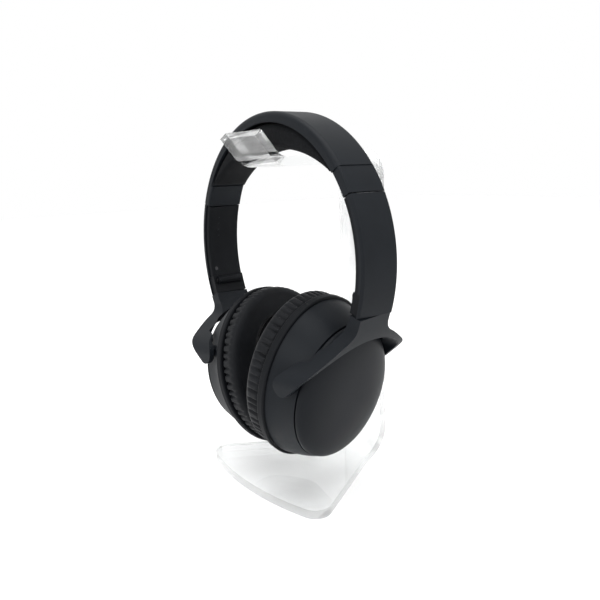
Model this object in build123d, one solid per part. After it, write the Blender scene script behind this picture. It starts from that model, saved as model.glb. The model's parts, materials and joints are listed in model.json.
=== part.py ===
from build123d import *
import math
import os

# Clear bent-sheet headphone stand carrying a pair of folding over-ear headphones.
# Millimetres. The row frame has its origin on the surface the stand rests on, under the cradle,
# +Z up, the stand's lip towards -Y and the wearer's left ear cup at +X.
# The headphones are modelled about the centre of their headband arc, then set on the stand.

# ---- stand sheet ----
SHEET = 5.0              # thickness of the clear sheet
STRIP_HALF = 18.0        # half width of the upright, arm and lip
UPRIGHT_Y = 61.5         # centre line of the upright
UPRIGHT_TOP_Z = 195.5    # corner of the bend above the upright
CRADLE_Z = 189.4         # centre line of the cradle's floor
CRADLE_BACK_Y = 12.0
CRADLE_FRONT_Y = -12.4
LIP_END = (-25.2, 204.5)
FOOT_BEND = 18.0         # bend radii, on the centre line
TOP_BEND = 14.0
CRADLE_BACK_BEND = 20.0
LIP_BEND = 13.0
BASE_FRONT_Y = -31.8     # the base's front edge is an arc between two rounded corners
BASE_CORNER = (59.4, -21.6)
BASE_CORNER_R = 9.0
FLARE_END_Y = 48.3       # here the tapering base reaches the width of the upright
FLARE_BLEND_R = 30.0

# ---- where the headphones hang ----
HANG_X = 4.0
HANG_Z = 138.0
HANG_TILT = 3.15         # degrees, the left side hangs higher

# ---- headband, arms and yokes: radii about the centre of the headband arc ----
R_OUT = 78.0
BAND_HALF = 12.4         # half width of the headband
COVER_END = 55.0         # angles from the crown, in degrees: end of the padded cover,
HOUSING_END = 66.2       # end of the end housing, where the arm slides out,
ARM_END = 112.0          # end of the arm,
YOKE_START = 112.3       # start of the yoke below it
SEAM_GAP = 0.25
ARM_HALF = 11.8
ARM_IN = 71.5
PLATE_IN = 75.0
KNUCKLE_START = 103.0
KNUCKLE_IN = 71.0
KNUCKLE_OUT = 76.6
BLADE_ANGLE = 10.0       # the sliders' direction, in degrees from vertical
BLADE_R = 76.0
BLADE_T = 1.0
BLADE_W = 12.0
BLADE_DOWN = 28.0
BLADE_TAIL = 57.5        # the blade's curved tail is fixed in the end housing, up to this angle
STEM_R = 74.2            # swivel stem
STEM_D = 4.0
RUN = 0.05               # radial running clearance

# ---- yoke and ear cups: lengths about the tilt pivot, +X outward, +Z up ----
PIVOT = (40.3, -59.2)    # x and z of the tilt pivots from the centre of the headband arc
LEG_IN = 37.0            # inner face of the yoke's legs, from the middle plane
LEG_T = 3.0
LEG_R = 5.8              # half width of a leg, and the radius of its end
LEG_RISE = 36.0          # the legs rise outward from the pivots, in degrees
FORK_Z = -43.0           # underside of the arch between the legs, on the middle plane
PIVOT_D = 4.0
CUP_Z = -13.0            # the ear cup's middle lies below its pivots
RING_X = (-16.3, -11.7)  # pad mounting ring
CUP_A = 47.8             # half height and half depth of the cup at the ring
CUP_B = 40.0
SEAM_X = 6.0             # end of the cup body
CAP_X = 6.9              # start of the outer cap
CAP_A = 38.6
CAP_B = 34.6
CAP_DEPTH = 8.0
CAP_SHOULDER = 7.0
WALL = 2.0
PAD_X = (-28.4, -16.5)   # ear side and back of the pad
PAD_HOLE = (30.0, 20.5)
PAD_EDGE = 5.5
LEFT_REST = (8.0, 15.5)  # resting swivel and lean of each cup, in degrees
RIGHT_REST = (-4.0, 9.0)


def save(name, *solids):
    shape = solids[0] if len(solids) == 1 else Compound(children=list(solids))
    export_step(shape, f"parts/{name}.step")


def polar(radius, degrees):
    """Point of the XZ plane at an angle from the crown, towards +X."""
    angle = math.radians(degrees)
    return (radius * math.sin(angle), radius * math.cos(angle))


def arc_sector(r_in, r_out, start, end, half_width):
    """Curved bar about the headband centre, between two angles from the crown."""
    middle = (start + end) / 2
    outline = [
        Line(polar(r_in, start), polar(r_out, start)),
        ThreePointArc(polar(r_out, start), polar(r_out, middle), polar(r_out, end)),
        Line(polar(r_out, end), polar(r_in, end)),
        ThreePointArc(polar(r_in, end), polar(r_in, middle), polar(r_in, start)),
    ]
    face = Plane.XZ * make_face(outline)
    return extrude(face, half_width, both=True)


def xz_face(lines):
    return Plane.XZ * make_face(lines)


def frustum_of_ellipses(sections, centre_z=CUP_Z):
    """Smooth solid through ellipses (x, half height, half depth)."""
    faces = []
    for x, a, b in sections:
        plane = Plane(origin=(x, 0, centre_z), x_dir=(0, 0, 1), z_dir=(1, 0, 0))
        faces.append(plane * Ellipse(a, b))
    return loft(faces)


def elliptic_plate(x0, x1, a, b, centre_z=CUP_Z):
    plane = Plane(origin=(x0, 0, centre_z), x_dir=(0, 0, 1), z_dir=(1, 0, 0))
    return extrude(plane * Ellipse(a, b), x1 - x0)


def rod(radius, start, end):
    """Round bar between two points."""
    direction = Vector(*end) - Vector(*start)
    plane = Plane(origin=start, z_dir=direction.normalized())
    return extrude(plane * Circle(radius), direction.length)


def bar_about_line(start, end, width, thickness):
    """Flat bar whose middle line runs between two points of the XZ plane, wide along Y."""
    p = Vector(start[0], 0, start[1])
    q = Vector(end[0], 0, end[1])
    plane = Plane(origin=p, x_dir=(0, 1, 0), z_dir=(q - p).normalized())
    return extrude(plane * Rectangle(width, thickness), (q - p).length)


# ------------------------------------------------------------------ stand


def offset_polyline(points, radii, distance):
    """Corner points and bend radii of one face of the sheet, beside its centre line."""
    middle = [Vector(*point) for point in points]
    runs = [(b - a).normalized() for a, b in zip(middle, middle[1:])]
    corners = []
    for i, corner in enumerate(middle):
        before = runs[max(i - 1, 0)]
        after = runs[min(i, len(runs) - 1)]
        normal = Vector(-before.Y - after.Y, before.X + after.X) / 2
        corners.append(corner + normal / normal.length ** 2 * distance)
    bends = []
    for radius, before, after in zip(radii, runs, runs[1:]):
        turns_left = before.X * after.Y - before.Y * after.X > 0
        bends.append(radius - distance if turns_left else radius + distance)
    return corners, bends


def make_stand():
    centre = [
        (-60.0, SHEET / 2),
        (UPRIGHT_Y, SHEET / 2),
        (UPRIGHT_Y, UPRIGHT_TOP_Z),
        (CRADLE_BACK_Y, CRADLE_Z),
        (CRADLE_FRONT_Y, CRADLE_Z),
        LIP_END,
    ]
    bends = [FOOT_BEND, TOP_BEND, CRADLE_BACK_BEND, LIP_BEND]
    left, left_bends = offset_polyline(centre, bends, SHEET / 2)
    right, right_bends = offset_polyline(centre, bends, -SHEET / 2)
    outline = [
        FilletPolyline(*left, radius=left_bends),
        Line(left[-1], right[-1]),
        FilletPolyline(*right, radius=right_bends),
        Line(right[0], left[0]),
    ]
    profile = extrude(Plane.YZ * make_face(outline), 80, both=True)
    x, y = BASE_CORNER
    plan = make_face([
        ThreePointArc((-x, y), (0, BASE_FRONT_Y), (x, y)),
        Line((x, y), (STRIP_HALF, FLARE_END_Y)),
        Line((STRIP_HALF, FLARE_END_Y), (STRIP_HALF, 80)),
        Line((STRIP_HALF, 80), (-STRIP_HALF, 80)),
        Line((-STRIP_HALF, 80), (-STRIP_HALF, FLARE_END_Y)),
        Line((-STRIP_HALF, FLARE_END_Y), (-x, y)),
    ])
    front_corners = plan.vertices().sort_by(Axis.Y)[:2]
    plan = fillet(front_corners, BASE_CORNER_R)
    flare_corners = [v for v in plan.vertices() if abs(v.Y - FLARE_END_Y) < 0.01]
    plan = fillet(flare_corners, FLARE_BLEND_R)
    base_zone = extrude(plan, 2 * FOOT_BEND)
    strip_zone = Pos(0, 0, 130) * Box(2 * STRIP_HALF, 300, 220)
    sheet = profile & (base_zone + strip_zone)
    return sheet.solids()[0]


# --------------------------------------------------------------- headband


def make_headband():
    """Cover, core, spring and cushion between the two end housings."""
    cover = arc_sector(72.6, R_OUT + 0.4, -COVER_END, COVER_END, BAND_HALF)
    top_edges = cover.edges().filter_by(
        lambda e: e.length > 100 and abs(e.center().Y) > 12 and e.bounding_box().max.Z > 78)
    cover = fillet(top_edges, 3.0)
    cover -= arc_sector(70.0, R_OUT - 1.6, -COVER_END + 1.2, COVER_END - 1.2, BAND_HALF - 1.6)
    core = arc_sector(73.0, R_OUT - 1.8, -COVER_END + 1.6, COVER_END - 1.6, BAND_HALF - 1.8)
    spring_slot = arc_sector(74.4, 75.4, -COVER_END, COVER_END, 7.1)
    core -= spring_slot
    spring = arc_sector(74.5, 75.3, -COVER_END + 2, COVER_END - 2, 7.0)
    return cover, core, spring


def make_cushion():
    """Lens-shaped pad under the band, thickest at the crown."""
    angle = COVER_END - 1.5
    low = 57.9
    outline = [
        ThreePointArc(polar(72.4, -angle), polar(72.4, 0), polar(72.4, angle)),
        Line(polar(72.4, angle), polar(70.2, angle)),
        ThreePointArc(polar(70.2, angle), (0, low), polar(70.2, -angle)),
        Line(polar(70.2, -angle), polar(72.4, -angle)),
    ]
    pad = extrude(xz_face(outline), BAND_HALF - 0.7, both=True)
    lower = pad.edges().filter_by(lambda e: e.length > 80 and e.center().Z < 68 and abs(e.center().Y) > 5)
    return fillet(lower, 1.6)


def make_end_housing():
    """Short shell between the padded cover and the arm; holds the slider blade's tail."""
    shell = arc_sector(72.0, R_OUT, COVER_END + 0.15, HOUSING_END - SEAM_GAP, ARM_HALF)
    long_edges = shell.edges().filter_by(lambda e: e.length > 12 and abs(e.center().Y) > 11)
    return fillet(long_edges, 1.2) - make_blade()


def blade_tail():
    half = BLADE_T / 2
    return arc_sector(BLADE_R - half, BLADE_R + half, BLADE_TAIL, HOUSING_END, BLADE_W / 2)


def blade_run(length, gap=0.0):
    """The blade's straight part, from the seam down into the arm."""
    x, z = polar(BLADE_R, HOUSING_END)
    angle = math.radians(BLADE_ANGLE)
    end = (x + length * math.sin(angle), z - length * math.cos(angle))
    start = (x - 0.5 * math.sin(angle), z + 0.5 * math.cos(angle))
    return bar_about_line(start, end, BLADE_W + 2 * gap, BLADE_T + 2 * gap)


def make_blade():
    return blade_run(BLADE_DOWN) + blade_tail()


# ------------------------------------------------------------------- arms


def make_arm():
    """Outer plate, inner shell, hinge knuckle, hinge pin, swivel stem and screws."""
    slot = blade_run(BLADE_DOWN + 1.0, 0.15)
    stem = rod(STEM_D / 2, stem_point(-6.5), stem_point(7.5))
    knuckle_room = arc_sector(60, KNUCKLE_OUT, KNUCKLE_START, 118, 20)

    plate = arc_sector(PLATE_IN, R_OUT, HOUSING_END + SEAM_GAP, ARM_END, ARM_HALF)
    outer_edges = plate.edges().filter_by(
        lambda e: e.length > 20 and abs(e.center().Y) > 11 and e.center().length > 76)
    plate = fillet(outer_edges, 1.4)
    plate = plate - slot - knuckle_room - stem
    shell = arc_sector(ARM_IN, PLATE_IN, HOUSING_END + SEAM_GAP, KNUCKLE_START, ARM_HALF - 0.8)
    inner_edges = shell.edges().filter_by(
        lambda e: e.length > 20 and abs(e.center().Y) > 10 and e.center().length < 74)
    shell = fillet(inner_edges, 1.0)
    shell = shell - slot

    knuckle = arc_sector(KNUCKLE_IN, KNUCKLE_OUT, KNUCKLE_START + 0.1, ARM_END, ARM_HALF - 0.8)
    bx, bz = polar(70.6, 105.6)
    barrel = rod(2.6, (bx, -8.5, bz), (bx, 8.5, bz))
    pin = rod(1.1, (bx, -9.6, bz), (bx, 9.6, bz))
    knuckle = knuckle + barrel - pin - stem
    screws = []
    for degrees in (KNUCKLE_START - 4.0, ARM_END - 2.2):
        head_x, head_z = polar(71.2, degrees)
        tip_x, tip_z = polar(73.6, degrees)
        screws.append(rod(1.1, (head_x, -7.4, head_z), (tip_x, -7.4, tip_z)))
    for screw in screws:
        knuckle -= screw
        shell -= screw
    return plate, shell, knuckle, pin, stem, screws


def stem_point(along):
    """Point on the swivel axis; along is measured down from the seam below the arm."""
    x, z = polar(STEM_R, ARM_END)
    angle = math.radians(ARM_END)
    return (x + along * math.cos(angle), 0, z - along * math.sin(angle))


# ------------------------------------------------------------------- yoke


def yoke_profile():
    """Side shape: on from the arm's section, then sweeping back to round ends at the pivots."""
    px, pz = PIVOT
    rise = math.radians(LEG_RISE)
    along = Vector(math.cos(rise), math.sin(rise))
    across = Vector(-math.sin(rise), math.cos(rise)) * LEG_R
    pivot = Vector(px, pz)
    out_top = Vector(*polar(R_OUT, YOKE_START))
    in_top = Vector(*polar(KNUCKLE_IN, YOKE_START))
    down = Vector(math.cos(math.radians(YOKE_START)), -math.sin(math.radians(YOKE_START)))
    return make_face([
        Line(in_top, out_top),
        Spline(out_top, pivot + along * 15 - across, tangents=(down, along * -1)),
        Line(pivot + along * 15 - across, pivot - across),
        ThreePointArc(pivot - across, pivot - along * LEG_R, pivot + across),
        Line(pivot + across, pivot + along * 9 + across),
        Spline(pivot + along * 9 + across, in_top, tangents=(along, down * -1)),
    ])


def yoke_front():
    """Outline seen along X: neck as wide as the arm, shoulders, two parallel legs."""
    top = polar(KNUCKLE_IN, YOKE_START)[1] + 4
    foot = PIVOT[1] - 10
    out = LEG_IN + LEG_T
    outer = Spline((ARM_HALF, -34.0), (19.0, -41.8), (31.0, -48.8), (out, -60.0),
                   tangents=((0.1, -1), (0, -1)))
    arch = Spline((0, FORK_Z), (20.0, -46.4), (34.4, -54.0), (LEG_IN, -60.5),
                  tangents=((1, 0), (0, -1)))
    half_face = make_face([
        Line((0, top), (ARM_HALF, top)),
        Line((ARM_HALF, top), (ARM_HALF, -34.0)),
        outer,
        Line((out, -60.0), (out, foot)),
        Line((out, foot), (LEG_IN, foot)),
        Line((LEG_IN, foot), (LEG_IN, -60.5)),
        arch,
        Line((0, FORK_Z), (0, top)),
    ])
    return half_face + mirror(half_face, about=Plane.YZ)


def make_yoke():
    """Neck that goes on from the arm and a fork with two round-ended legs; pivot pins."""
    px, pz = PIVOT
    side = extrude(Plane.XZ * yoke_profile(), LEG_IN + LEG_T + 1, both=True)
    front = extrude(Plane.YZ * yoke_front(), 120)
    cup_room = (
        elliptic_plate(-8, CAP_X + CAP_DEPTH + 0.6, CAP_A + 1.4, CAP_B + 1.4)
        + elliptic_plate(-1.5, SEAM_X + 1.0, CUP_A - 3.4, CUP_B - 3.4)
        + elliptic_plate(-8, -1.0, CUP_A - 1.5, CUP_B - 2.2)
    )
    cup_room = leaned(cup_room, 16.5)
    solid = ((side & front) - cup_room).solids().sort_by(SortBy.VOLUME)[-1]
    bore = rod(STEM_D / 2 + RUN, stem_point(0.0), stem_point(8.0))
    pins = []
    for sign in (-1, 1):
        outer_end = sign * (LEG_IN + LEG_T - 0.8)
        pins.append(rod(PIVOT_D / 2, (px, sign * 31.0, pz), (px, outer_end, pz)))
    return solid - bore - pins[0] - pins[1], pins


# ---------------------------------------------------------------- ear cup


def make_cup():
    """Parts of one ear cup, about its tilt pivot."""
    ring_in, ring_out = RING_X
    sections = [
        (ring_out, CUP_A - 1.2, CUP_B - 1.4),
        (-7.0, CUP_A - 2.4, CUP_B - 3.0),
        (-1.0, CUP_A - 4.6, CUP_B - 4.3),
        (SEAM_X, CAP_A + 0.6, CAP_B + 0.2),
    ]
    outer = frustum_of_ellipses(sections)
    inner = frustum_of_ellipses([(x, a - WALL, b - WALL) for x, a, b in sections])
    body = outer - inner
    bosses = [rod(4.5, (0, sign * 29.0, 0), (0, sign * (LEG_IN - 2.4), 0)) for sign in (-1, 1)]
    bores = [rod(PIVOT_D / 2 + RUN, (0, sign * 28.0, 0), (0, sign * 40.0, 0)) for sign in (-1, 1)]
    for boss in bosses:
        body = body + boss
    for bore in bores:
        body = body - bore
    body = body.solids().sort_by(SortBy.VOLUME)[-1]

    ring = elliptic_plate(ring_in, ring_out, CUP_A + 0.4, CUP_B + 0.4)
    ring = fillet(ring.edges(), 0.9)
    ring = ring - elliptic_plate(ring_in - 1, ring_out + 1, CUP_A - 6.0, CUP_B - 6.0)

    baffle = elliptic_plate(ring_in + 0.6, ring_in + 2.6, CUP_A - 6.1, CUP_B - 6.1)
    baffle = baffle - elliptic_plate(ring_in, ring_in + 4, 17.2, 17.2)
    scrim = elliptic_plate(ring_in, ring_in + 0.5, CUP_A - 6.1, CUP_B - 6.1)

    return body, ring, baffle, scrim


def dome(x0, x1, a, b, shoulder):
    """Elliptic plate with a rounded shoulder on its outer side."""
    plate = elliptic_plate(x0, x1, a, b)
    rim = plate.edges().sort_by(Axis.X)[-1]
    return fillet(rim, shoulder)


def make_cap():
    """Domed outer cover of the cup, a hollow shell."""
    end = CAP_X + CAP_DEPTH
    outside = dome(CAP_X, end, CAP_A, CAP_B, CAP_SHOULDER)
    return outside - dome(CAP_X - 1.0, end - WALL, CAP_A - WALL, CAP_B - WALL, CAP_SHOULDER - WALL)


def make_driver():
    frame = rod(17.0, (RING_X[0] + 0.6, 0, CUP_Z), (-9.0, 0, CUP_Z))
    frame = frame - rod(15.6, (RING_X[0], 0, CUP_Z), (-10.2, 0, CUP_Z))
    frame = frame - rod(9.1, (-12, 0, CUP_Z), (-8, 0, CUP_Z))
    diaphragm = rod(15.4, (-15.0, 0, CUP_Z), (-14.6, 0, CUP_Z))
    magnet = rod(9.0, (-11.5, 0, CUP_Z), (-5.0, 0, CUP_Z))
    return frame, diaphragm, magnet


def make_ear_pad():
    a = CUP_A + 0.2
    b = CUP_B + 0.2
    pad = elliptic_plate(PAD_X[0], PAD_X[1], a, b)
    pad = fillet(pad.edges().sort_by(Axis.X)[:1], PAD_EDGE + 1.5)
    hole = elliptic_plate(PAD_X[0] - 1, PAD_X[1] + 1, *PAD_HOLE)
    pad = pad - hole
    inner_front = pad.edges().sort_by(lambda e: (round(e.center().X, 1), e.length))[:1]
    return fillet(inner_front, 3.5)


def make_inside(has_battery):
    board = elliptic_plate(0.2, 1.4, 30.0, 25.0)
    inside = {"circuit_board": board}
    if has_battery:
        inside["battery"] = Pos(-2.3, 0, CUP_Z + 17.5) * Box(4.2, 30, 16)
    return inside


def make_cup_screws():
    screws = []
    for angle in (45, 135, 225, 315):
        y = (CUP_B - 9.5) * math.cos(math.radians(angle))
        z = CUP_Z + (CUP_A - 9.5) * math.sin(math.radians(angle))
        screws.append(rod(1.9, (-13.7, y, z), (-12.3, y, z)) + rod(1.0, (-12.3, y, z), (-8.5, y, z)))
    return screws


# -------------------------------------------------------------- placement


def hang(shape):
    """From the headband's own frame to its place on the stand."""
    return Pos(HANG_X, 0, HANG_Z) * Rot(0, -HANG_TILT, 0) * shape


def swivelled(shape, degrees):
    start = Vector(*stem_point(0))
    direction = Vector(*stem_point(1)) - start
    return shape.rotate(Axis(start, direction), -degrees)


def leaned(shape, degrees):
    """A cup part, from its pivot frame into the yoke, with its lower edge swung inward."""
    moved = Pos(PIVOT[0], 0, PIVOT[1]) * shape
    return moved.rotate(Axis((PIVOT[0], 0, PIVOT[1]), (0, 1, 0)), degrees)


def on_side(shape, side):
    return hang(shape if side == "left" else mirror(shape, about=Plane.YZ))


def main():
    os.makedirs("parts", exist_ok=True)
    save("stand_sheet", make_stand())

    cover, core, spring = make_headband()
    save("headband_cover", hang(cover))
    save("headband_core", hang(core))
    save("headband_spring", hang(spring))
    save("headband_cushion", hang(make_cushion()))

    housing = make_end_housing()
    blade = make_blade()
    arm_parts = make_arm()
    yoke, pins = make_yoke()
    cup_parts = make_cup()
    cap = make_cap()
    driver = make_driver()
    pad = make_ear_pad()
    screws = make_cup_screws()

    for side, (swivel, lean) in (("left", LEFT_REST), ("right", RIGHT_REST)):
        save(f"end_housing_{side}", on_side(housing, side))
        save(f"slider_blade_{side}", on_side(blade, side))
        names = ("arm_plate", "arm_inner_shell", "hinge_knuckle", "hinge_pin", "swivel_stem")
        for name, solid in zip(names, arm_parts):
            save(f"{name}_{side}", on_side(solid, side))
        save(f"arm_screws_{side}", *[on_side(s, side) for s in arm_parts[5]])
        save(f"yoke_{side}", on_side(swivelled(yoke, swivel), side))
        save(f"pivot_pins_{side}", *[on_side(swivelled(p, swivel), side) for p in pins])

        def in_cup(solid):
            return on_side(swivelled(leaned(solid, lean), swivel), side)

        cup_names = ("cup_body", "pad_ring", "baffle", "scrim")
        for name, solid in zip(cup_names, cup_parts):
            save(f"{name}_{side}", in_cup(solid))
        save(f"cup_cap_{side}", in_cup(cap))
        for name, solid in zip(("driver_frame", "driver_diaphragm", "driver_magnet"), driver):
            save(f"{name}_{side}", in_cup(solid))
        save(f"ear_pad_{side}", in_cup(pad))
        save(f"cup_screws_{side}", *[in_cup(s) for s in screws])
        for name, solid in make_inside(side == "right").items():
            save(f"{name}_{side}", in_cup(solid))


main()
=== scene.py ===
import json
import math
import random

import bmesh
import bpy
from mathutils import Matrix, Vector


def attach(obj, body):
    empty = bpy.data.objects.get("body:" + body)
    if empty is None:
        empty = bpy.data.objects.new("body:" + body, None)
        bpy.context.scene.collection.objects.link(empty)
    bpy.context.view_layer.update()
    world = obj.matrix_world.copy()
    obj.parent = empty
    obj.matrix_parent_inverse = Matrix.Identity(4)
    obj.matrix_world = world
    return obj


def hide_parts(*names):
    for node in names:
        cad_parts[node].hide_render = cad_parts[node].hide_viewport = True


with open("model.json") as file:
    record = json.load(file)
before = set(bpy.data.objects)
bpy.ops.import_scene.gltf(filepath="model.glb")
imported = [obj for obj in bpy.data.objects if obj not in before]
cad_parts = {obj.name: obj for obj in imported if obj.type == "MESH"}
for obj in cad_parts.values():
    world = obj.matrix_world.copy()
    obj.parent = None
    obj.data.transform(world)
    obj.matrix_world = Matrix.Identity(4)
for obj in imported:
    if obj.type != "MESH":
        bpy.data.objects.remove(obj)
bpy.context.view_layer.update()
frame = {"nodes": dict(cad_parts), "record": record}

MM = 0.001
SIDES = ("left", "right")

# ---- the headphones' own frame, as the CAD places it ----
HANG = Vector((4.0, 0.0, 138.0))      # centre of the headband's arc, mm
HANG_TILT = 3.15                      # how far the band hangs to one side, degrees
PIVOT = Vector((40.3, 0.0, -59.2))    # tilt axis of a cup, from that centre
STEM_R, STEM_ANGLE = 74.2, 112.0      # swivel stem, along the arc
CUP_Z = -13.0                         # middle of a cup below its tilt axis
REST = {"left": (8.0, 15.5), "right": (-4.0, 9.0)}  # swivel and lean of each cup, degrees


def on_arc(radius, degrees, y=0.0):
    """Point about the headband's centre, at an angle from the crown towards +X, in mm."""
    angle = math.radians(degrees)
    return Vector((radius * math.sin(angle), y, radius * math.cos(angle)))


def hang_matrix(side):
    """From one half of the headband, in mm, to the shared frame, in metres."""
    turn = Matrix.Rotation(math.radians(-HANG_TILT), 4, "Y")
    mirror = Matrix.Diagonal((1 if side == "left" else -1, 1, 1, 1))
    return Matrix.Scale(MM, 4) @ Matrix.Translation(HANG) @ turn @ mirror


def cup_matrix(side):
    """From a cup's pivot frame, in mm, to the shared frame, in metres."""
    swivel, lean = REST[side]
    stem = on_arc(STEM_R, STEM_ANGLE)
    angle = math.radians(STEM_ANGLE)
    down = Vector((math.cos(angle), 0, -math.sin(angle)))
    swing = Matrix.Rotation(math.radians(-swivel), 4, down)
    swing = Matrix.Translation(stem) @ swing @ Matrix.Translation(-stem)
    tip = Matrix.Translation(PIVOT) @ Matrix.Rotation(math.radians(lean), 4, "Y")
    return hang_matrix(side) @ swing @ tip


# ------------------------------------------------------------- materials


def shader(name, color, roughness, specular=0.1, **sockets):
    mat = bpy.data.materials.new(name)
    mat.use_nodes = True
    node = mat.node_tree.nodes["Principled BSDF"]
    node.inputs["Base Color"].default_value = (*color, 1)
    node.inputs["Roughness"].default_value = roughness
    node.inputs["Specular IOR Level"].default_value = specular
    for key, value in sockets.items():
        node.inputs[key.replace("_", " ")].default_value = value
    return mat, node


def add(mat, kind, links=(), **values):
    """A node with its sockets set, and links as (input name, output socket)."""
    node = mat.node_tree.nodes.new(kind)
    for key, value in values.items():
        if key in ("operation", "feature"):
            setattr(node, key, value)
        else:
            node.inputs[key.replace("_", " ")].default_value = value
    for name, output in links:
        mat.node_tree.links.new(output, node.inputs[name])
    return node


def position(mat):
    return add(mat, "ShaderNodeTexCoord").outputs["Object"]


def bump(mat, target, height, distance, strength, below=None):
    """Relief on a shader, over the relief of an earlier bump node if one is given."""
    node = add(mat, "ShaderNodeBump", [("Height", height)], Strength=strength, Distance=distance)
    if below:
        mat.node_tree.links.new(below.outputs["Normal"], node.inputs["Normal"])
    mat.node_tree.links.new(node.outputs["Normal"], target.inputs["Normal"])
    return node


def ramp(mat, factor, low, high, start=0.0, end=1.0):
    """Colour from low to high as the factor goes from start to end."""
    node = add(mat, "ShaderNodeValToRGB", [("Fac", factor)])
    first, last = node.color_ramp.elements
    first.position, last.position = start, end
    first.color, last.color = (*low, 1), (*high, 1)
    return node.outputs["Color"]


def grey(value):
    return (value, value, value)


def moulded(name, low, high, roughness, grain=0.35, texture_scale=2600.0):
    """Matte moulded plastic: spark-eroded grain, and slow changes of tone and gloss from handling."""
    mat, node = shader(name, high, roughness)
    where = position(mat)
    slow = add(mat, "ShaderNodeTexNoise", [("Vector", where)], Scale=38.0, Detail=5.0, Roughness=0.6)
    links = mat.node_tree.links
    links.new(ramp(mat, slow.outputs["Fac"], low, high, 0.3, 0.7), node.inputs["Base Color"])
    gloss = ramp(mat, slow.outputs["Fac"], grey(roughness - 0.05), grey(roughness + 0.07), 0.25, 0.75)
    links.new(gloss, node.inputs["Roughness"])
    fine = add(mat, "ShaderNodeTexNoise", [("Vector", where)], Scale=texture_scale, Detail=2.0)
    bump(mat, node, fine.outputs["Fac"], 0.00006, grain)
    return mat


def leather():
    """Soft synthetic leather: a fine pebble grain with shallow creases and a dull sheen."""
    mat, node = shader("pad_leather", (0.006, 0.0065, 0.0075), 0.52)
    node.inputs["Sheen Weight"].default_value = 0.03
    where = position(mat)
    slow = add(mat, "ShaderNodeTexNoise", [("Vector", where)], Scale=60.0, Detail=6.0, Roughness=0.62)
    links = mat.node_tree.links
    dark, light = (0.0032, 0.0037, 0.0047), (0.0058, 0.0066, 0.0084)
    tone = ramp(mat, slow.outputs["Fac"], dark, light, 0.3, 0.7)
    links.new(tone, node.inputs["Base Color"])
    gloss = ramp(mat, slow.outputs["Fac"], grey(0.44), grey(0.62), 0.3, 0.7)
    links.new(gloss, node.inputs["Roughness"])
    pebble = add(mat, "ShaderNodeTexVoronoi", [("Vector", where)],
                 Scale=1500.0, feature="DISTANCE_TO_EDGE")
    grain = bump(mat, node, pebble.outputs["Distance"], 0.00012, 0.35)
    crease = add(mat, "ShaderNodeTexNoise", [("Vector", where)], Scale=240.0, Detail=4.0, Distortion=0.8)
    bump(mat, node, crease.outputs["Fac"], 0.0004, 0.35, grain)
    return mat


def woven(name, low, high, pitch, roughness, sheen):
    """Cloth: crossed sets of ridges for the threads, with flecks of tone in the yarn."""
    mat, node = shader(name, high, roughness)
    node.inputs["Sheen Weight"].default_value = sheen
    node.inputs["Sheen Roughness"].default_value = 0.5
    where = position(mat)
    scale = math.pi / pitch
    waves = []
    for direction in ("X", "Y", "Z"):
        wave = add(mat, "ShaderNodeTexWave", [("Vector", where)],
                   Scale=scale / 10, Distortion=1.2, Detail=1.0)
        wave.bands_direction = direction
        waves.append(wave.outputs["Fac"])
    pair = add(mat, "ShaderNodeMath", operation="MULTIPLY")
    both = add(mat, "ShaderNodeMath", operation="ADD")
    links = mat.node_tree.links
    links.new(waves[0], pair.inputs[0])
    links.new(waves[1], pair.inputs[1])
    links.new(pair.outputs[0], both.inputs[0])
    links.new(waves[2], both.inputs[1])
    fleck = add(mat, "ShaderNodeTexNoise", [("Vector", where)], Scale=900.0, Detail=3.0)
    links.new(ramp(mat, fleck.outputs["Fac"], low, high, 0.35, 0.65), node.inputs["Base Color"])
    threads = bump(mat, node, both.outputs[0], 0.0002, 0.5)
    bump(mat, node, fleck.outputs["Fac"], 0.0003, 0.4, threads)
    return mat


def steel(name, low, high, roughness):
    """Brushed metal: noise drawn out along one direction."""
    mat, node = shader(name, high, roughness, Metallic=1.0)
    where = position(mat)
    stretch = add(mat, "ShaderNodeMapping", [("Vector", where)], Scale=(1.0, 0.06, 0.06))
    drawn = stretch.outputs["Vector"]
    lines = add(mat, "ShaderNodeTexNoise", [("Vector", drawn)], Scale=900.0, Detail=4.0)
    links = mat.node_tree.links
    links.new(ramp(mat, lines.outputs["Fac"], low, high, 0.3, 0.7), node.inputs["Base Color"])
    spread = ramp(mat, lines.outputs["Fac"], grey(roughness - 0.08), grey(roughness + 0.1), 0.3, 0.7)
    links.new(spread, node.inputs["Roughness"])
    bump(mat, node, lines.outputs["Fac"], 0.00003, 0.3)
    return mat


def acrylic():
    """Clear cast sheet, polished, with the faint waviness that bending leaves."""
    mat, node = shader("clear_acrylic", (0.93, 0.945, 0.945), 0.01, 0.5, IOR=1.49)
    node.inputs["Transmission Weight"].default_value = 1.0
    node.inputs["Alpha"].default_value = 0.7
    where = position(mat)
    wave = add(mat, "ShaderNodeTexNoise", [("Vector", where)], Scale=14.0, Detail=1.0)
    bump(mat, node, wave.outputs["Fac"], 0.0002, 0.02)
    return mat


def board():
    """Green circuit board with a broken-up surface."""
    mat, node = shader("board", (0.01, 0.07, 0.04), 0.4)
    where = position(mat)
    cells = add(mat, "ShaderNodeTexVoronoi", [("Vector", where)], Scale=420.0)
    tone = ramp(mat, cells.outputs["Distance"], (0.012, 0.09, 0.05), (0.006, 0.05, 0.03), 0.1, 0.5)
    mat.node_tree.links.new(tone, node.inputs["Base Color"])
    bump(mat, node, cells.outputs["Distance"], 0.0001, 0.3)
    return mat


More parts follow.
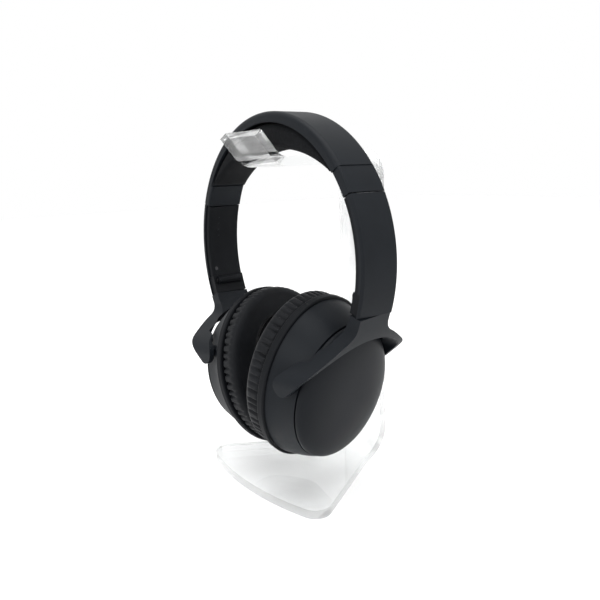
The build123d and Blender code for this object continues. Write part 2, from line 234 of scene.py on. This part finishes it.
MATERIALS = {
    "clear_acrylic": acrylic(),
    "shell_black": moulded(
        "shell_black", (0.0055, 0.0068, 0.0088), (0.0078, 0.0096, 0.0122), 0.44),
    "inner_black": moulded(
        "inner_black", (0.0030, 0.0036, 0.0047), (0.0042, 0.0050, 0.0065), 0.56),
    "cap_black": moulded(
        "cap_black", (0.0050, 0.0060, 0.0077), (0.0068, 0.0080, 0.0102), 0.42, 0.25),
    "band_fabric": woven(
        "band_fabric", (0.0022, 0.0025, 0.0031), (0.0046, 0.0052, 0.0063), 0.0007, 0.92, 0.015),
    "pad_leather": leather(),
    "scrim_fabric": woven(
        "scrim_fabric", (0.004, 0.004, 0.005), (0.012, 0.012, 0.014), 0.0009, 0.85, 0.03),
    "spring_steel": steel("spring_steel", (0.42, 0.42, 0.43), (0.58, 0.58, 0.59), 0.3),
    "dark_steel": steel("dark_steel", (0.03, 0.03, 0.032), (0.06, 0.06, 0.064), 0.38),
    "film": moulded("film", (0.5, 0.5, 0.52), (0.6, 0.6, 0.62), 0.3, 0.1, 800.0),
    "board": board(),
    "cell_wrap": moulded("cell_wrap", (0.16, 0.18, 0.22), (0.22, 0.24, 0.29), 0.35, 0.15, 900.0),
}


def dress(obj, slot):
    obj.data.materials.clear()
    obj.data.materials.append(MATERIALS[slot])


for part in frame["record"]["subparts"]:
    dress(frame["nodes"][part["node"]], part["material_slot"])

# light goes through the clear sheet, so it throws no dark shadow
frame["nodes"]["stand_sheet"].visible_shadow = False

# ---------------------------------------------------------------- pieces


def piece(name, points, faces, matrix, body, slot):
    """A mesh from points in mm and a matrix into the shared frame, riding on a body."""
    mesh = bpy.data.meshes.new(name)
    mesh.from_pydata([matrix @ Vector(p) for p in points], [], faces)
    work = bmesh.new()
    work.from_mesh(mesh)
    bmesh.ops.remove_doubles(work, verts=work.verts, dist=1e-6)
    bmesh.ops.recalc_face_normals(work, faces=work.faces)
    work.to_mesh(mesh)
    work.free()
    for polygon in mesh.polygons:
        polygon.use_smooth = True
    obj = bpy.data.objects.new(name, mesh)
    bpy.context.scene.collection.objects.link(obj)
    dress(obj, slot)
    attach(obj, body)
    return obj


def grid(rows, cols, close_rows=False):
    """Faces between rows of points. Each row is a closed ring of cols points."""
    faces = []
    for i in range(rows if close_rows else rows - 1):
        for j in range(cols):
            a, b = i * cols + j, i * cols + (j + 1) % cols
            c, d = ((i + 1) % rows) * cols + (j + 1) % cols, ((i + 1) % rows) * cols + j
            faces.append((a, b, c, d))
    return faces


def signed_power(value, power):
    return math.copysign(abs(value) ** power, value)


def round_cup(x, a, b, theta):
    """Point on an ellipse about a cup's axis, of half height a and half depth b."""
    return (x, b * math.sin(theta), CUP_Z + a * math.cos(theta))


PAD_FRONT, PAD_BACK = -28.4, -16.4    # ear side and cup side of a pad, along the cup's axis
PAD_A, PAD_B = 48.0, 40.2             # half height and half depth of its outline
HOLE_A, HOLE_B = 30.0, 20.5           # and of its opening
PAD_PROFILE = 64                      # points round the section
EAR_SIDE = (0.72, 0.62)               # how full the section is, along and across the axis
CUP_SIDE = (0.3, 0.45)
CROWN = 0.3                           # hollow of the ear side, mm
CROWN_BAND = (0.3, 0.75)              # the share of the section that it covers
PLEATS = 66
PLEAT_STEPS = 9                       # points along the rim for each pleat
PLEAT_DEPTH = (1.3, 2.4)
PLEAT_SHIFT = 0.16                    # of a pleat's own width, either way
PLEAT_REACH = (0.75, 1.15)
PLEAT_BAND = 0.35                     # the share of the section, from outside, that is pleated
PLEAT_START, PLEAT_LENGTH = 0.12, 0.5
GROOVE_WIDTH = 0.19
RIDGE = 0.2


def make_pad(side):
    """Leather ring: full and smooth at the ear, drawn into short pleats where it meets the cup."""
    rng = random.Random(11 if side == "left" else 12)
    depth = [rng.uniform(*PLEAT_DEPTH) for _ in range(PLEATS)]
    shift = [rng.uniform(-PLEAT_SHIFT, PLEAT_SHIFT) for _ in range(PLEATS)]
    reach = [rng.uniform(*PLEAT_REACH) for _ in range(PLEATS)]
    points = []
    count = PLEATS * PLEAT_STEPS
    middle = (PAD_FRONT + PAD_BACK) / 2
    half = (PAD_BACK - PAD_FRONT) / 2
    for i in range(count):
        theta = 2 * math.pi * i / count
        k = i // PLEAT_STEPS
        phase = (i % PLEAT_STEPS) / PLEAT_STEPS - 0.5 - shift[k]
        groove = math.exp(-(phase / GROOVE_WIDTH) ** 2)
        ridge = RIDGE * math.cos(2 * math.pi * phase)
        soft = 0.25 * math.sin(3 * theta + 1.0) + 0.18 * math.sin(7 * theta)
        for j in range(PAD_PROFILE):
            phi = 2 * math.pi * j / PAD_PROFILE
            front = math.cos(phi) > 0
            along_power, across_power = EAR_SIDE if front else CUP_SIDE
            x = middle - half * signed_power(math.cos(phi), along_power)
            across = 0.5 - 0.5 * signed_power(math.sin(phi), across_power)
            a = PAD_A + (HOLE_A - PAD_A) * across
            b = PAD_B + (HOLE_B - PAD_B) * across
            outer = max(0.0, 1 - across / PLEAT_BAND)
            along = (x - PAD_FRONT) / (PAD_BACK - PAD_FRONT)
            fade = (along - PLEAT_START) / PLEAT_LENGTH * reach[k]
            fade = max(0.0, min(1.0, fade)) ** 1.3
            inward = outer * (fade * (depth[k] * groove - ridge) + 0.5 + 0.3 * soft)
            if front and CROWN_BAND[0] < across < CROWN_BAND[1]:
                x += CROWN + 0.25 * soft
            points.append(round_cup(x, a - inward, b - inward, theta))
    obj = piece("ear_cushion_" + side, points, grid(count, PAD_PROFILE, close_rows=True),
                cup_matrix(side), "cup_" + side, "pad_leather")
    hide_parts("ear_pad_" + side)


CAP_X, CAP_RISE = 6.9, 8.0            # rim of a cover along the cup's axis, and its height
CAP_A, CAP_B = 38.6, 34.6             # half height and half depth of its rim
CAP_RINGS, CAP_STEPS = 44, 144
DOME_SPREAD, DOME_DROP = 0.66, 0.95   # a lower spread makes the shoulder rounder
CAP_RIM = ((0.6, -0.05), (2.0, 0.55))  # the rolled rim, as inset and place along the axis


def make_cap(side):
    """Domed outer cover, crowned across its whole face, with a rolled rim at the groove."""
    turns = [2 * math.pi * j / CAP_STEPS for j in range(CAP_STEPS)]
    points = []
    for i in range(CAP_RINGS + 1):
        t = i / CAP_RINGS * math.pi / 2
        radius = math.sin(t) ** DOME_SPREAD
        x = CAP_X + CAP_RISE * math.cos(t) ** DOME_DROP
        points += [round_cup(x, CAP_A * radius, CAP_B * radius, theta) for theta in turns]
    for inset, back in CAP_RIM:
        points += [round_cup(CAP_X + back, CAP_A - inset, CAP_B - inset, theta) for theta in turns]
    rows = CAP_RINGS + 1 + len(CAP_RIM)
    faces = grid(rows, CAP_STEPS)
    faces.append(tuple(range((rows - 1) * CAP_STEPS, rows * CAP_STEPS)))
    obj = piece("cup_cover_" + side, points, faces, cup_matrix(side), "cup_" + side, "cap_black")
    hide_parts("cup_cap_" + side)


CUSHION_END = 53.5                    # degrees from the crown to either end of the padding
CUSHION_TOP = 72.4                    # radius of its upper face, mm
CUSHION_LOW, CUSHION_THIN = 57.9, 70.2  # radius of its lower face, at the crown and at the ends
CUSHION_HALF = 11.7                   # half width
CUSHION_ROWS, CUSHION_COLS = 121, 40
CUSHION_EDGE = (0.45, 0.5)            # how square its section is, across and up
END_START, END_TAPER = 0.96, 0.5      # where the ends start to thin, and by how much
LOWER_CROWN = 0.6


def make_band_cushion():
    """Padding under the band: thick at the crown, thin at both ends, rolled along its edges."""
    end = on_arc(CUSHION_THIN, CUSHION_END)
    sagitta = CUSHION_LOW - end.z
    radius = (end.x ** 2 + sagitta ** 2) / (2 * sagitta)
    centre_z = CUSHION_LOW - radius
    points = []
    for i in range(CUSHION_ROWS):
        t = 2 * i / (CUSHION_ROWS - 1) - 1
        direction = on_arc(1.0, t * CUSHION_END)
        dot = direction.z * centre_z
        low = dot + math.sqrt(dot * dot - centre_z ** 2 + radius ** 2)
        taper = 1 - END_TAPER * max(0.0, abs(t) - END_START) / (1 - END_START)
        middle = (CUSHION_TOP + low) / 2
        half = (CUSHION_TOP - low) / 2 * taper
        for j in range(CUSHION_COLS):
            phi = 2 * math.pi * j / CUSHION_COLS
            across = signed_power(math.cos(phi), CUSHION_EDGE[0]) * CUSHION_HALF
            up = signed_power(math.sin(phi), CUSHION_EDGE[1])
            crown = LOWER_CROWN * (across / CUSHION_HALF) ** 2 if up < 0 else 0
            points.append(direction * (middle + half * up + crown) + Vector((0, across, 0)))
    faces = grid(CUSHION_ROWS, CUSHION_COLS)
    faces.append(tuple(range(CUSHION_COLS)))
    faces.append(tuple(range((CUSHION_ROWS - 1) * CUSHION_COLS, CUSHION_ROWS * CUSHION_COLS)))
    obj = piece("band_padding", points, faces, hang_matrix("left"), "headband", "band_fabric")
    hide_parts("headband_cushion")


MARK_ANGLES = (72.0, 75.2, 78.4, 81.6)
MARK_R, MARK_Y = 71.52, -4.0          # on the arm's inner face
MARK_RINGS = ((0.75, -0.1), (0.7, 0.1), (0.4, 0.18))  # a dot's rings, as radius and height
MARK_STEPS = 20


def make_size_marks(side):
    """Moulded dots along the arm's inner face that show how far the slider is out."""
    rings = len(MARK_RINGS)
    points, faces = [], []
    for angle in MARK_ANGLES:
        centre = on_arc(MARK_R, angle, MARK_Y)
        out = on_arc(-1.0, angle)
        tangent = Vector((out.z, 0, -out.x))
        start = len(points)
        for radius, lift in MARK_RINGS:
            for k in range(MARK_STEPS):
                turn = 2 * math.pi * k / MARK_STEPS
                spot = centre + tangent * radius * math.cos(turn)
                points.append(spot + Vector((0, radius * math.sin(turn), 0)) + out * lift)
        faces += [tuple(start + corner for corner in face) for face in grid(rings, MARK_STEPS)]
        faces.append(tuple(start + (rings - 1) * MARK_STEPS + k for k in range(MARK_STEPS)))
        faces.append(tuple(start + k for k in range(MARK_STEPS)))
    piece("size_marks_" + side, points, faces, hang_matrix(side), "arm_" + side, "cap_black")


make_band_cushion()
for side in SIDES:
    make_pad(side)
    make_cap(side)
    make_size_marks(side)

# ---------------------------------------------------- floor, light, camera

FLOOR_SIZE = 6.0
FLOOR_DROP = 0.0003    # a hair under the base, so that the two faces don't meet
FLOOR_GLOW = 0.09      # lifts the floor to the white of the background
bpy.ops.mesh.primitive_plane_add(size=FLOOR_SIZE, location=(0, 0, -FLOOR_DROP))
floor = bpy.context.object
floor.name = "floor"
floor_mat, floor_node = shader("pale_floor", grey(0.9), 0.75)
floor_noise = add(floor_mat, "ShaderNodeTexNoise", [("Vector", position(floor_mat))], Scale=3.0)
floor_tone = ramp(floor_mat, floor_noise.outputs["Fac"], grey(0.895), grey(0.905))
floor_mat.node_tree.links.new(floor_tone, floor_node.inputs["Base Color"])
floor_node.inputs["Emission Color"].default_value = (1, 1, 1, 1)
floor_node.inputs["Emission Strength"].default_value = FLOOR_GLOW
floor.data.materials.append(floor_mat)

world = bpy.data.worlds.new("studio")
bpy.context.scene.world = world
world.use_nodes = True
background = world.node_tree.nodes["Background"]
background.inputs["Color"].default_value = (1, 1, 1, 1)
background.inputs["Strength"].default_value = 1.0
bpy.context.scene.view_settings.view_transform = "Standard"

MIDDLE = Vector((0.0, 0.0, 0.11))


def softbox(name, place, size, power):
    """A rectangular area light, aimed at the middle of the object."""
    data = bpy.data.lights.new(name, "AREA")
    data.shape = "RECTANGLE"
    data.size, data.size_y = size
    data.energy = power
    obj = bpy.data.objects.new(name, data)
    bpy.context.scene.collection.objects.link(obj)
    obj.location = place
    aim = MIDDLE - Vector(place)
    obj.rotation_euler = aim.to_track_quat("-Z", "Y").to_euler()


softbox("top_softbox", (0.1, -0.1, 1.1), (0.9, 0.9), 8.0)
softbox("front_softbox", (0.2, -1.0, 0.65), (0.7, 0.5), 4.0)
softbox("side_softbox", (1.0, 0.25, 0.7), (0.5, 0.7), 3.0)

CAMERA = Vector((0.3091, -0.2167, 0.1850))
TARGET = Vector((0.01544, 0.0, 0.11198))
ROLL = math.radians(-1.91)
LENS, SENSOR = 39.18, 36.0  # mm
ahead = (TARGET - CAMERA).normalized()
right = ahead.cross(Vector((0, 0, 1))).normalized()
up = right.cross(ahead)
tilted_right = right * math.cos(ROLL) + up * math.sin(ROLL)
tilted_up = up * math.cos(ROLL) - right * math.sin(ROLL)
camera_data = bpy.data.cameras.new("camera")
camera_data.lens = LENS
camera_data.sensor_width = SENSOR
camera_data.clip_start = 0.01
camera = bpy.data.objects.new("camera", camera_data)
bpy.context.scene.collection.objects.link(camera)
axes = Matrix((tilted_right, tilted_up, -ahead)).transposed().to_4x4()
camera.matrix_world = Matrix.Translation(CAMERA) @ axes
bpy.context.scene.camera = camera
